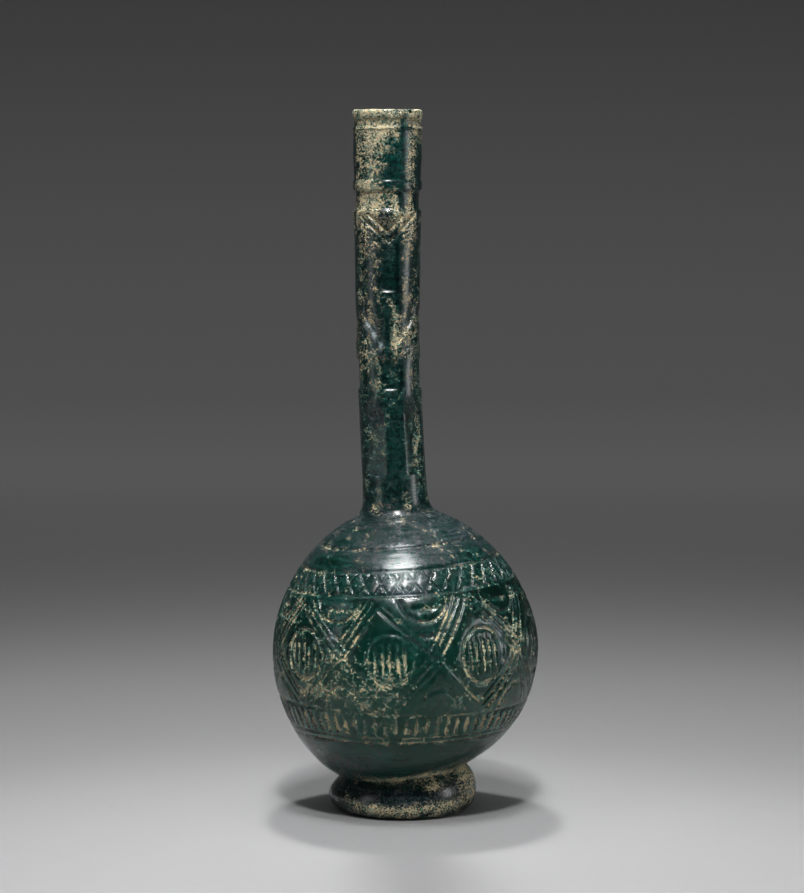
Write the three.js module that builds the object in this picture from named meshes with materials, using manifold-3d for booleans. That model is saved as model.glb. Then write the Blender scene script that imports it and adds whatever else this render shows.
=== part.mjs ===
import * as THREE from 'three';
import { mergeVertices } from 'three/addons/utils/BufferGeometryUtils.js';
import Module from 'manifold-3d';

// A wheel-cut bottle of dark green glass: a blown globe with a long neck and an applied foot.
// Millimetres, +Z up, the origin at the centre of the foot's underside, the front towards -Y.
// Angles are in degrees round the bottle, from the front towards +X. A level is a height on the spine.

// Blown globe
const BODY_RADIUS = 41.9;
const BODY_LEVEL = 50.8;
const BODY_RISE = 45.4;
const BODY_DROP = 43.2;
const SHOULDER_POWER = 1.86; // under 2, so the shoulder runs straighter than an ellipse
const WALL = 3.2;

// Applied foot: a thick coil, pressed out to a flat ring below
const FOOT_RADIUS = 23.3;
const FOOT_WIDEST = 5.4;
const FOOT_TOP = 12.4;
const FOOT_WAIST = 19.2;
const FOOT_LEVELS = [0, 1.4, FOOT_WIDEST, 9.6, FOOT_TOP];
const RING_OUTER = 18.8;
const RING_INNER = 15;
const KICK = 6; // height of the dome under the foot
const KICK_SHARES = [0.47, 0.87]; // its rows, as shares of the ring's inner radius

// Neck, as [level, radius] from the root fillet to the lip
const NECK_ROOT = 94.4;
const NECK = [
  [92.8, 10.7], [97, 10.2], [127, 9.9], [150, 10], [178, 10.3], [188.6, 10.75],
  [189.6, 9.85], [194.6, 9.9], [195.3, 10.75], [197.8, 10.75], [198.4, 10.4],
  [213.6, 10.6], [214.1, 10.95], [214.9, 10.3], [216.9, 10.35], [217.5, 10.95], [219.4, 10.85],
];
const HEIGHT = 220;
const LIP_RADIUS = 10.2;

// Bore of the neck, as [level, radius] from the globe's hollow to above the mouth
const BORE = [[95, 8], [99, 7], [128, 7], [150, 7], [212, 7], [HEIGHT + 1, 7.6]];

// Spine: sideways place of each level, and the lean of its ring in degrees, right side up
const SPINE = [
  [0, 0.1], [12, 0.3], [26, 0.2], [38, 0.5], [52, 1.1], [66, 0.45],
  [80, -0.7], [97, -2], [128, -3.6], [150, -4.4], [170, -4.5],
];
const LEAN = [
  [0, 0], [3, 0.5], [12.2, 5.5], [21, 2.6], [36, -0.9], [54, 0.8],
  [73, 3.3], [90, 3.6], [107, 4.2], [126, 2], [142, 0.6], [165, 0],
];

// Ring lines turned round the body, from the shoulder down
const RINGS = [85.8, 79.6, 73, 36.4, 27.4];
const RING_HALF = 0.8;
const RING_DEPTH = 0.5;
const PLAIN_LEVELS = [19, 90.5, NECK_ROOT]; // rows of the uncut glass below and above them

// Lozenge belt between the third and fourth ring, each lozenge round an oval with upright strokes
const LOZENGES = 9;
const LOZENGE_FIRST = -6.5;
const LOZENGE_SPREAD = 2.9; // degrees by which the lozenges draw apart towards the front
const LOZENGE_MIDDLE = 54;
const LOZENGE_GAP = 0.2;
const TOP_SHIFT = -5;
const FOOT_SHIFT = 1;
const LOZENGE_LINE = 0.23; // width of the lozenge's line as a share of its half size
const OVAL_WIDTH = 14.8;
const OVAL_HEIGHT = 16;
const OVAL_LINE = 1.5;
const OVAL_STROKE_LENGTH = 0.66; // share of the oval's own height at the stroke

// Half ovals hanging between the lozenges, each with a bar in it and a dash below
const HALF_OVAL_SHIFT = -4;
const HALF_OVAL_WIDTH = 11;
const HALF_OVAL_LOW = 65;
const HALF_OVAL_STEPS = 4;
const BAR_DROP = 2.8;
const BAR_SPREAD = 4.5;
const BAR_WIDTH = 1.4;
const DASH_LEVEL = 60.8;
const DASH_SPREAD = 4;

// Hatched bands
const BAND_GAP = 1.25; // from a ring line to the strokes beside it
const STROKE_DEPTH = 0.5;
const CROSSES = 42;
const CROSS_FIRST = 6.9;
const CROSS_SPREAD = 3.9;
const CROSS_WIDTH = 1.1;
const CROSSED_WITHIN = 82; // degrees from the front, behind which the strokes no longer cross
const HATCHES = 74;
const HATCH_FIRST = 1.5;
const HATCH_WIDTH = 1.3;

// Nested V cuts under the collar, each by the [angle, level] of its left end, apex and right end
const CHEVRONS = 3;
const CHEVRON_LINES = [
  [[-54, 187.6], [3, 179], [52, 188]],
  [[-32, 187.4], [1, 182.2], [23, 186.8]],
];
const CHEVRON_STEPS = 3;

// Thumb cuts, deepest at their lower ledge
const NOTCHES = 6;
const NOTCH_FIRST = 1;
const NOTCH_LEVELS = [163.6, 171];
const NOTCH_DEPTH = 0.5;
const NOTCH_WIDTH = 9;

// Leaves either side of an upright rib, each by curves from [angle, level] outside to [angle, level] inside
const LEAVES = 3;
const LEAF_FIRST = 4;
const LEAF_CURVES = [
  [[50, 155.5], [11, 147.2]],
  [[60, 151.1], [24, 145.6]],
];
const LEAF_STEPS = 3;
const LEAF_BEND = 1.6; // over 1, so a curve drops slowly at first

// Flat panels
const UPPER_PANELS = [3, 93, 183, 273];
const UPPER_PANEL_LEVELS = [133, 142.8];
const UPPER_PANEL_DEPTH = 0.65;
const LOWER_PANELS = [-33, 47, 137, 232];
const LOWER_PANEL_LEVELS = [106.5, 126.4];
const LOWER_PANEL_DEPTH = 0.75;
const PANEL_WIDTH = 12;

// Groove sections
const LINE_HALF = 0.75;
const LINE_DEPTH = 0.6;
const LIFT = 0.8; // how far a cutter stands out of the glass
const FACET_THICKNESS = 4;

// Facets round the globe, the neck and the hollow, and the hollow's rows
const COLUMNS_PER_LOZENGE = 4;
const NECK_COLUMNS = 18;
const INNER_COLUMNS = 18;
const INNER_ROWS = 8;

const wasm = await Module();
wasm.setup();

// Smooth curve through [level, value] stops, flat beyond both ends
function through(stops) {
  const last = stops.length - 1;
  const slopes = stops.map((stop, i) => {
    const before = stops[i - 1];
    const after = stops[i + 1];
    return before && after ? (after[1] - before[1]) / (after[0] - before[0]) : 0;
  });
  return (level) => {
    const x = THREE.MathUtils.clamp(level, stops[0][0], stops[last][0]);
    const i = Math.min(stops.findLastIndex((stop) => stop[0] <= x), last - 1);
    const span = stops[i + 1][0] - stops[i][0];
    const t = (x - stops[i][0]) / span;
    const ease = t * t * (3 - 2 * t);
    const bend = t * (1 - t) * (slopes[i] * (1 - t) - slopes[i + 1] * t) * span;
    return stops[i][1] + (stops[i + 1][1] - stops[i][1]) * ease + bend;
  };
}

const spine = through(SPINE);
const lean = through(LEAN);

function globeRadius(level, inset) {
  const rise = level > BODY_LEVEL ? BODY_RISE : BODY_DROP;
  const power = level > BODY_LEVEL ? SHOULDER_POWER : 2;
  const u = Math.min(Math.abs(level - BODY_LEVEL) / (rise - inset), 1);
  return (BODY_RADIUS - inset) * (1 - u ** power) ** (1 / power);
}

function footRadius(level) {
  const below = level < FOOT_WIDEST;
  const edge = below ? RING_OUTER : FOOT_WAIST;
  const reach = below ? FOOT_WIDEST : FOOT_TOP - FOOT_WIDEST;
  const u = THREE.MathUtils.clamp((level - FOOT_WIDEST) / reach, -1, 1);
  return edge + (FOOT_RADIUS - edge) * Math.sqrt(1 - u * u);
}

function neckRadius(level) {
  const i = Math.max(NECK.findLastIndex((stop) => stop[0] <= level), 0);
  const [low, high] = [NECK[i], NECK[i + 1] ?? [HEIGHT, LIP_RADIUS]];
  return THREE.MathUtils.mapLinear(level, low[0], high[0], low[1], high[1]);
}

// Outer radius of the blown blank at a level
function blankRadius(level) {
  if (level > NECK_ROOT) return neckRadius(level);
  if (level > FOOT_TOP) return globeRadius(level, 0);
  return footRadius(level);
}

// Point at an angle on the leaning ring of a level
function ringPoint(angle, level, radius) {
  const a = THREE.MathUtils.degToRad(angle);
  const side = radius * Math.sin(a);
  const lift = side * Math.tan(THREE.MathUtils.degToRad(lean(level)));
  return new THREE.Vector3(spine(level) + side, -radius * Math.cos(a), level + lift);
}

function surfacePoint(angle, level) {
  return ringPoint(angle, level, blankRadius(level));
}

// Axes on the blank's surface: round the bottle, and out of the glass
function surfaceAxes(angle, level) {
  const [turn, step] = [0.5, 0.1];
  const round = surfacePoint(angle + turn, level).sub(surfacePoint(angle - turn, level)).normalize();
  const up = surfacePoint(angle, level + step).sub(surfacePoint(angle, level - step));
  return { round, out: round.clone().cross(up).normalize() };
}

function sunkPoint(angle, level, depth) {
  return surfacePoint(angle, level).addScaledVector(surfaceAxes(angle, level).out, -depth);
}

// Triangles between two closed rows of points, facing out where the second row is the higher
function strip(low, high) {
  return low.flatMap((point, i) => {
    const next = (i + 1) % low.length;
    return [point, low[next], high[next], point, high[next], high[i]];
  });
}

function strips(rows) {
  return rows.slice(1).flatMap((row, i) => strip(rows[i], row));
}

// Closed skin from rows of points, with the first and last row closed by a point each
function skin(rows, bottom, top) {
  const ends = [rows[0].map(() => bottom), rows[rows.length - 1].map(() => top)];
  return strips([ends[0], ...rows, ends[1]]);
}

function repeat(count, make) {
  return Array.from({ length: count }, (_, i) => make(i));
}

function evenAngles(count, first = 0) {
  return repeat(count, (i) => first + (360 * i) / count);
}

// Section swept along stations, each { point, across, out }, with both ends closed
function sweep(stations, section) {
  const sides = section.length;
  const points = stations.flatMap(({ point, across, out }) =>
    section.map(([x, y]) => point.clone().addScaledVector(across, x).addScaledVector(out, y)));
  const index = [];
  const end = (stations.length - 1) * sides;
  for (let here = 0; here < end; here += sides) {
    const there = here + sides;
    for (let k = 0; k < sides; k++) {
      const next = (k + 1) % sides;
      index.push(here + k, there + next, here + next, here + k, there + k, there + next);
    }
  }
  const outline = section.map(([x, y]) => new THREE.Vector2(x, y));
  for (const [a, b, c] of THREE.ShapeUtils.triangulateShape(outline, [])) {
    index.push(a, b, c, end + a, end + c, end + b);
  }
  const geometry = new THREE.BufferGeometry().setFromPoints(points);
  geometry.setIndex(index);
  return geometry;
}

// V-shaped groove along a path of [angle, level] places
function groove(path) {
  const rim = (LINE_HALF * (LINE_DEPTH + LIFT)) / LINE_DEPTH;
  const section = [[-rim, LIFT], [0, -LINE_DEPTH], [rim, LIFT]];
  const points = path.map(([angle, level]) => surfacePoint(angle, level));
  const last = path.length - 1;
  const stations = path.map(([angle, level], i) => {
    const before = points[Math.max(i - 1, 0)];
    const after = points[Math.min(i + 1, last)];
    const { out } = surfaceAxes(angle, level);
    const across = after.clone().sub(before).cross(out).normalize();
    return { point: points[i], across, out };
  });
  return sweep(stations, section);
}

function straightPath(from, to, steps) {
  const between = (k, t) => THREE.MathUtils.lerp(from[k], to[k], t);
  return repeat(steps + 1, (i) => [between(0, i / steps), between(1, i / steps)]);
}

// Hanging half of an ellipse below an [angle, level] centre, in millimetres on the surface
function bowlPath(angle, level, width, depth, steps) {
  const degrees = THREE.MathUtils.radToDeg(1 / blankRadius(level));
  return repeat(steps + 1, (i) => {
    const turn = (Math.PI * i) / steps;
    return [angle - 0.5 * width * Math.cos(turn) * degrees, level - depth * Math.sin(turn)];
  });
}

// Boat-shaped wheel stroke between two [angle, level] places
function stroke(from, to, width, depth) {
  const middle = [(from[0] + to[0]) / 2, (from[1] + to[1]) / 2];
  const { out } = surfaceAxes(...middle);
  const along = surfacePoint(...to).sub(surfacePoint(...from));
  const half = along.length() / 2;
  along.normalize();
  const across = along.clone().cross(out).normalize();
  const geometry = new THREE.OctahedronGeometry(1);
  geometry.scale(width / 2, half, depth);
  const centre = surfacePoint(...from).add(surfacePoint(...to)).multiplyScalar(0.5);
  geometry.applyMatrix4(new THREE.Matrix4().makeBasis(across, along, out).setPosition(centre));
  return geometry;
}

// Flat cut between two levels, sunk by a depth at each, with a square ledge at both ends
function facet(angle, [low, high], depthLow, depthHigh, width) {
  const bottom = sunkPoint(angle, low, depthLow);
  const top = sunkPoint(angle, high, depthHigh);
  const { round } = surfaceAxes(angle, (low + high) / 2);
  const up = top.clone().sub(bottom);
  const height = up.length();
  up.normalize();
  const out = round.clone().cross(up).normalize();
  const across = up.clone().cross(out);
  const geometry = new THREE.BoxGeometry(width, height, FACET_THICKNESS);
  geometry.translate(0, 0, FACET_THICKNESS / 2);
  const centre = bottom.add(top).multiplyScalar(0.5);
  geometry.applyMatrix4(new THREE.Matrix4().makeBasis(across, up, out).setPosition(centre));
  return geometry;
}

// Solid from a geometry or from a list of triangle corners, with coinciding corners joined
function toSolid(shape) {
  const geometry = Array.isArray(shape) ? new THREE.BufferGeometry().setFromPoints(shape) : shape;
  geometry.deleteAttribute('normal');
  geometry.deleteAttribute('uv');
  const merged = mergeVertices(geometry, 1e-3);
  const vertProperties = new Float32Array(merged.attributes.position.array);
  const corners = Array.from(merged.index.array);
  const triVerts = new Uint32Array(corners.filter((_, i) => {
    const [a, b, c] = corners.slice(i - (i % 3), i - (i % 3) + 3);
    return a !== b && b !== c && c !== a;
  }));
  return new wasm.Manifold(new wasm.Mesh({ numProp: 3, vertProperties, triVerts }));
}

function toGeometry(solid) {
  const mesh = solid.getMesh();
  const geometry = new THREE.BufferGeometry();
  geometry.setAttribute('position', new THREE.BufferAttribute(mesh.vertProperties, 3));
  geometry.setIndex(new THREE.BufferAttribute(mesh.triVerts, 1));
  return geometry;
}

// Lozenge centres sit a little wider apart at the front than at the back.
function lozengeAngle(count) {
  const even = (360 * count) / LOZENGES;
  return LOZENGE_FIRST + even + LOZENGE_SPREAD * Math.sin(THREE.MathUtils.degToRad(even));
}

// Inside of an oval: upright ridges between sunk strokes, from the ring of points round it
function ovalInside(path) {
  const half = path.length / 2;
  const columns = path.slice(1, half).map(([angle, high], i) => {
    const [, low] = path[path.length - 1 - i];
    const reach = (OVAL_STROKE_LENGTH * (high - low)) / 2;
    const depth = i % 2 === 0 ? LINE_DEPTH : 0;
    const inner = [reach, -reach].map((rise) => sunkPoint(angle, LOZENGE_MIDDLE + rise, depth));
    return [sunkPoint(angle, high, 0), ...inner, sunkPoint(angle, low, 0)];
  });
  const tip = (i) => Array(4).fill(sunkPoint(...path[i], 0));
  const all = [tip(0), ...columns, tip(half)];
  return all.slice(1).flatMap((column, i) => {
    const beside = all[i];
    return [0, 1, 2].flatMap((k) =>
      [beside[k], column[k], column[k + 1], beside[k], column[k + 1], beside[k + 1]]);
  });
}

// One lozenge of the belt: rings of points from the edge of its own stretch of the belt in to its oval
function lozenge(count, low, high) {
  const across = repeat(COLUMNS_PER_LOZENGE + 1, (i) => lozengeAngle(count - 0.5 + i / COLUMNS_PER_LOZENGE));
  const [left, middle, right] = [across[0], lozengeAngle(count), across[COLUMNS_PER_LOZENGE]];
  const halfway = (level) => (level + LOZENGE_MIDDLE) / 2;
  const upper = across.slice(0, -1).reverse().map((angle) => [angle, high]);
  const lower = across.slice(1).map((angle) => [angle, low]);
  const edge = [
    [right, LOZENGE_MIDDLE], [right, halfway(high)], [right, high], ...upper,
    [left, halfway(high)], [left, LOZENGE_MIDDLE], [left, halfway(low)], [left, low], ...lower,
    [right, halfway(low)],
  ];
  const corners = [
    [right, LOZENGE_MIDDLE],
    [middle + TOP_SHIFT, high - LOZENGE_GAP],
    [left, LOZENGE_MIDDLE],
    [middle + FOOT_SHIFT, low + LOZENGE_GAP],
  ];
  const sides = corners.flatMap((corner, i) =>
    straightPath(corner, corners[(i + 1) % corners.length], COLUMNS_PER_LOZENGE).slice(0, -1));
  const shrunk = (share) => sides.map(([angle, level]) =>
    [middle + (angle - middle) * share, LOZENGE_MIDDLE + (level - LOZENGE_MIDDLE) * share]);
  const degrees = THREE.MathUtils.radToDeg(1 / BODY_RADIUS);
  const oval = (grow) => edge.map((_, i) => {
    const x = Math.abs(i * 4 - 2 * edge.length) / edge.length - 1;
    const y = Math.sqrt(1 - x * x) * (i < edge.length / 2 ? 1 : -1);
    const side = (x * (OVAL_WIDTH + grow)) / 2;
    return [middle + side * degrees, LOZENGE_MIDDLE + (y * (OVAL_HEIGHT + grow)) / 2];
  });
  const sunk = (path, depth) => path.map(([angle, level]) => sunkPoint(angle, level, depth));
  const rings = [
    sunk(edge, 0),
    sunk(sides, 0),
    sunk(shrunk(1 - LOZENGE_LINE / 2), LINE_DEPTH),
    sunk(shrunk(1 - LOZENGE_LINE), 0),
    sunk(oval(OVAL_LINE), 0),
    sunk(oval(0), LINE_DEPTH),
    sunk(oval(-OVAL_LINE), 0),
  ];
  return [...strips(rings), ...ovalInside(oval(-OVAL_LINE))];
}

// Globe with its foot, the turned ring lines and the lozenge belt, closed flat under the neck
function globe() {
  const angles = repeat(LOZENGES * COLUMNS_PER_LOZENGE, (i) => lozengeAngle(i / COLUMNS_PER_LOZENGE - 0.5));
  const beltLow = RINGS[3] + RING_HALF;
  const beltHigh = RINGS[2] - RING_HALF;
  const plain = [...FOOT_LEVELS, ...PLAIN_LEVELS].map((level) => [level, 0]);
  const lines = RINGS.flatMap((level) =>
    [[level - RING_HALF, 0], [level, RING_DEPTH], [level + RING_HALF, 0]]);
  const levels = [...plain, ...lines].sort((a, b) => a[0] - b[0]);
  const rows = (part) => part.map(([level, depth]) => angles.map((angle) => sunkPoint(angle, level, depth)));
  const kick = [0, ...KICK_SHARES, 1].map((share) => {
    const rise = KICK * Math.sqrt(1 - share * share);
    return angles.map((angle) => ringPoint(angle, 0, share * RING_INNER).setZ(rise));
  });
  const cap = angles.map(() => ringPoint(0, NECK_ROOT, 0));
  return [
    strips([...kick, ...rows(levels.filter((stop) => stop[0] <= beltLow))]),
    repeat(LOZENGES, (i) => lozenge(i, beltLow, beltHigh)),
    strips([...rows(levels.filter((stop) => stop[0] >= beltHigh)), cap]),
  ].flat(2);
}

// Neck from inside the shoulder to the lip
function neck() {
  const angles = evenAngles(NECK_COLUMNS);
  const rows = [...NECK, [HEIGHT, LIP_RADIUS]].map(([level, radius]) =>
    angles.map((angle) => ringPoint(angle, level, radius)));
  return skin(rows, ringPoint(0, NECK[0][0], 0), ringPoint(0, HEIGHT, 0));
}

// Space inside: the globe's hollow and the bore of the neck, opening at the mouth
function hollow() {
  const angles = evenAngles(INNER_COLUMNS);
  const floor = BODY_LEVEL - BODY_DROP + WALL;
  const ceiling = BODY_LEVEL + BODY_RISE - WALL;
  const globe = repeat(INNER_ROWS - 1, (i) => {
    const share = (1 - Math.cos((Math.PI * (i + 1)) / INNER_ROWS)) / 2;
    const level = THREE.MathUtils.lerp(floor, ceiling, share);
    return [level, globeRadius(level, WALL)];
  });
  const rows = [...globe, ...BORE].map(([level, radius]) =>
    angles.map((angle) => ringPoint(angle, level, radius)));
  const [above] = BORE[BORE.length - 1];
  return skin(rows, ringPoint(0, floor, 0), ringPoint(0, above, 0));
}

// Half oval with a bar in it and a dash below, hanging in the triangle after a lozenge
function triangleCuts(count) {
  const angle = lozengeAngle(count + 0.5) + HALF_OVAL_SHIFT;
  const rim = RINGS[2] - 2 * RING_HALF;
  const bowl = bowlPath(angle, rim, HALF_OVAL_WIDTH, rim - HALF_OVAL_LOW, HALF_OVAL_STEPS);
  const bar = (level, spread) =>
    stroke([angle - spread, level], [angle + spread, level], BAR_WIDTH, LINE_DEPTH);
  return [groove(bowl), bar(rim - BAR_DROP, BAR_SPREAD), bar(DASH_LEVEL, DASH_SPREAD)];
}

// Crossed strokes of the shoulder band
function crossCuts(angle) {
  const [low, high] = [RINGS[2] + BAND_GAP, RINGS[1] - BAND_GAP];
  const fromFront = Math.abs(THREE.MathUtils.euclideanModulo(angle + 180, 360) - 180);
  const ways = fromFront < CROSSED_WITHIN ? [1, -1] : [1];
  return ways.map((way) => {
    const side = way * CROSS_SPREAD;
    return stroke([angle - side, low], [angle + side, high], CROSS_WIDTH, STROKE_DEPTH);
  });
}

// Upright stroke of the lower band
function hatchCut(angle) {
  const [low, high] = [RINGS[4] + BAND_GAP, RINGS[3] - BAND_GAP];
  return stroke([angle, low], [angle, high], HATCH_WIDTH, STROKE_DEPTH);
}

function chevronCuts(angle) {
  return CHEVRON_LINES.map((corners) => {
    const [left, apex, right] = corners.map(([turn, level]) => [angle + turn, level]);
    const rightArm = straightPath(apex, right, CHEVRON_STEPS).slice(1);
    return groove([...straightPath(left, apex, CHEVRON_STEPS), ...rightArm]);
  });
}

function leafCuts(angle) {
  const curve = (way, [outside, inside]) => repeat(LEAF_STEPS + 1, (i) => {
    const t = i / LEAF_STEPS;
    const turn = THREE.MathUtils.lerp(inside[0], outside[0], Math.cos((t * Math.PI) / 2));
    return [angle + way * turn, THREE.MathUtils.lerp(outside[1], inside[1], t ** LEAF_BEND)];
  });
  return [-1, 1].flatMap((way) => LEAF_CURVES.map((ends) => groove(curve(way, ends))));
}

function notchCut(angle) {
  return facet(angle, NOTCH_LEVELS, NOTCH_DEPTH, 0, NOTCH_WIDTH);
}

function panelCuts(angles, levels, depth) {
  return angles.map((angle) => facet(angle, levels, depth, depth, PANEL_WIDTH));
}

function cuts() {
  return [
    repeat(LOZENGES, triangleCuts),
    evenAngles(CROSSES, CROSS_FIRST).map(crossCuts),
    evenAngles(HATCHES, HATCH_FIRST).map(hatchCut),
    evenAngles(CHEVRONS).map(chevronCuts),
    evenAngles(NOTCHES, NOTCH_FIRST).map(notchCut),
    evenAngles(LEAVES, LEAF_FIRST).map(leafCuts),
    panelCuts(UPPER_PANELS, UPPER_PANEL_LEVELS, UPPER_PANEL_DEPTH),
    panelCuts(LOWER_PANELS, LOWER_PANEL_LEVELS, LOWER_PANEL_DEPTH),
  ].flat(2);
}

const blank = toSolid(globe()).add(toSolid(neck()));
const carved = [hollow(), ...cuts()].reduce((solid, cut) => solid.subtract(toSolid(cut)), blank);

const glass = new THREE.MeshStandardMaterial({ color: 0x123f3a, roughness: 0.3, metalness: 0 });
const bottle = new THREE.Mesh(toGeometry(carved), glass);
bottle.name = 'bottle';

const group = new THREE.Group();
group.add(bottle);

export default group;
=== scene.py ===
"""A wheel-cut glass bottle with a globe body, a long leaning neck and an applied foot.

The cuts are sunk into one dense skin, from the same sizes as the solid that it stands for. The skin
is then thinned to what the cuts need and finished as weathered dark green glass. Angles are in
degrees round the bottle, from the front towards +X. A level is a height on the spine. Both lengths
and levels are in millimetres while the skin is worked out, and in metres in Blender.
"""

import math

import bpy
import numpy as np
from bpy.props import FloatProperty, FloatVectorProperty, IntProperty, PointerProperty
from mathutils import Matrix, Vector


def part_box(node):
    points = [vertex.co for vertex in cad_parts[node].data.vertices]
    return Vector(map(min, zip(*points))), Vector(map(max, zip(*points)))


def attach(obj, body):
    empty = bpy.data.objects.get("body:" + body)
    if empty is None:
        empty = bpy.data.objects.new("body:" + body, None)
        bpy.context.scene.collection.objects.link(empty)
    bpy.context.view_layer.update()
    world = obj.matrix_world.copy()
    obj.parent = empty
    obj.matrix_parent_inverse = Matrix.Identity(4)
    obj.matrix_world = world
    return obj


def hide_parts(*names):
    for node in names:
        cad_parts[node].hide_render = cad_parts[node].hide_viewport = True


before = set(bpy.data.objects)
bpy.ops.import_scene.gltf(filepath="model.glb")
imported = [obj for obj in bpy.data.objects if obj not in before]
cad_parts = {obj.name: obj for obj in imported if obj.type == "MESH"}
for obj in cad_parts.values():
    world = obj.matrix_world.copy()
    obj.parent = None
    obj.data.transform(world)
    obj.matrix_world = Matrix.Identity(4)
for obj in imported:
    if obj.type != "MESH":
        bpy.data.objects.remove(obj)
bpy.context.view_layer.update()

bl_info = {
    "name": "Wheel-cut glass bottle",
    "version": (1, 0, 0),
    "blender": (4, 5, 0),
    "location": "View3D > Sidebar > Bottle",
    "description": "Builds a weathered, wheel-cut glass bottle around its packed solid",
    "category": "Add Mesh",
}

NODE = "bottle"
BODY = "root"
MM = 0.001
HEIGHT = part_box(NODE)[1].z / MM

# Blown globe and applied foot
BODY_LEVEL = 50.8
BODY_RISE = 45.4
BODY_DROP = 43.2
SHOULDER_POWER = 1.86
FOOT_WIDEST = 5.4
FOOT_TOP = 12.4
FOOT_WAIST = 19.2
FOOT_POWERS = (0.5, 0.9)  # below and above its widest level
RING_OUTER = 18.8
RING_INNER = 15.0
KICK = 6.0

# Neck and bore, as (level, radius)
NECK_ROOT = 92.6
NECK = (
    (NECK_ROOT, 14.72), (93.2, 13.5), (93.9, 12.4), (94.8, 11.5), (95.9, 10.85), (97.2, 10.45),
    (99, 10.2), (105, 10), (127, 9.9), (150, 10), (178, 10.3), (188.6, 10.75),
    (189.6, 9.85), (194.6, 9.9), (195.3, 10.75), (197.8, 10.75), (198.4, 10.4), (206, 10.7),
    (213.6, 10.6), (214.1, 10.95), (214.9, 10.3), (216.9, 10.35), (217.5, 10.95), (219.4, 10.85),
    (219.9, 10.5), (220, 10.1),
)
BORE = ((220, 7.9), (219.5, 7.5), (212, 7), (99, 7), (95, 8))

# Spine: sideways place of each level, and the lean of its ring in degrees, right side up
SPINE = (
    (0, 0.1), (12, 0.3), (26, 0.2), (38, 0.5), (52, 1.1), (66, 0.45), (80, -0.7), (97, -2), (128, -3.6),
    (150, -4.4), (170, -4.5),
)
LEAN = (
    (0, 0), (3, 0.5), (12.2, 5.5), (21, 2.6), (36, -0.9), (54, 0.8), (73, 3.3), (90, 3.6), (107, 4.2),
    (126, 2), (142, 0.6), (165, 0),
)

# Spacing of the dense skin as shares of its step, and the neck radius that sets the number of columns
NECK_ROWS = 0.9
INNER_ROWS = 4
COLUMNS = 0.8
COLUMN_RADIUS = 10.5

# Ring lines, as (level, half width, depth)
RINGS = (
    (85.8, 0.85, 0.42), (79.6, 0.8, 0.45), (73, 0.75, 0.45),
    (36.4, 0.8, 0.45), (28.9, 0.5, 0.35), (27.2, 0.55, 0.4),
)
CROSS_BAND = (73.3, 79.3)
CROSS_FIRST = 6.9
CROSS_HALF_TURN = 3.9
HATCH_BAND = (29.4, 35.6)
HATCH_FIRST = 1.5
BELT = (37.4, 72.0)

# Lozenge belt
LOZENGE_FIRST = -6.5
LOZENGE_SPREAD = 2.9
LOZENGE_MIDDLE = 54.0
LOZENGE_TOP = (-5.0, 72.4)
LOZENGE_FOOT = (1.0, 38.0)
LOZENGE_LINES = (
    # each side's lines as (offset inwards, strength): upper right, upper left, lower left, lower right
    ((-2.8, 0.9), (-0.6, 1.0), (1.4, 0.7)),
    ((-3.8, 0.9), (-1.8, 0.9), (0.2, 1.0)),
    ((0.2, 1.0), (-1.6, 0.5), (-4.4, 0.4)),
    ((-2.0, 0.9), (0.3, 1.0), (2.6, 0.7)),
)
LOZENGE_WORN = {
    # what wear has left of each line, by (lozenge, side)
    (0, 0): (0.0, 0.15, 1.4), (0, 3): (0.4, 0.5, 0.4), (0, 2): (0.8, 0.5, 0.3), (1, 2): (1.0, 0.3, 0.6),
}
OVAL_HALF = (7.5, 8.3)
OVAL_WEAR = (0.32, 1.0, 0.8, 0.9, 0.7, 0.9, 0.8, 1.0, 0.9)
OVAL_STROKES = (-4.7, -2.5, -0.1, 2.3, 4.6)
HALF_OVAL_SHIFT = -4.5
HALF_OVAL_RIM = 71.2
HALF_OVAL_HALF = (7.2, 6.6)
EYE_LEVEL = 68.6
EYE_REACH = 3.6
DASH_LEVEL = 60.6
DASH_REACH = 2.2
KNOT_REACH = 2.6
ARCH_LEVEL = 37.0
ARCH_HALF = (6.4, 7.6)

# Wheel cuts on the neck, its chevrons and leaves going round in so many motifs
NECK_MOTIFS = 3
CHEVRON_LINES = (
    ((-54, 187.6), (3, 179.2), (52, 188.0)),
    ((-32, 187.4), (1, 182.2), (23, 186.8)),
)
NOTCHES = (1, 61, 121, 181, 241, 301)
NOTCH_LEVELS = (163.6, 171.0)
NOTCH_DEPTH = 0.6
LEDGE = 1.0
LEAF_CURVES = (
    # outside end, inside end, width of the slope above the edge, depth at the edge
    ((50, 156.5), (9, 147.0), 5.0, 0.75),
    ((62, 152.0), (24, 145.0), 2.2, 0.6),
)
LEAF_BEND = 1.6
LEAF_FIRST = 4.0
PANELS = (
    # centres, levels and depth of each row
    ((3, 93, 183, 273), (133.0, 142.8), 0.65),
    ((-33, 47, 137, 232), (106.5, 126.4), 0.75),
)

# Weathering round the bottle, as (level, crust, haze)
BANDS = (
    (0, -0.06, 0.12), (4, -0.02, 0.18), (8, -0.12, 0.2), (11, -0.1, 0.18), (12.6, 0.12, 0.15),
    (14.5, 0.0, 0.15), (18, -0.1, 0.02), (26, -0.14, 0.0), (30, -0.05, 0.0), (36, -0.04, 0.0),
    (42, -0.04, 0.0), (54, -0.07, 0.0), (66, -0.09, 0.0), (72, -0.1, 0.0), (79, -0.1, 0.05),
    (81, -0.07, 0.22), (84, -0.1, 0.26), (92, -0.08, 0.3), (95, 0.02, 0.22), (99, -0.05, 0.03),
    (108, -0.06, 0.03), (126, -0.06, 0.03), (132, 0.04, 0.04), (145, 0.14, 0.1), (158, 0.14, 0.1),
    (172, 0.04, 0.06), (182, 0.2, 0.12), (189, 0.38, 0.15), (200, 0.26, 0.1), (208, 0.34, 0.1),
    (220, 0.5, 0.1),
)

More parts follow.
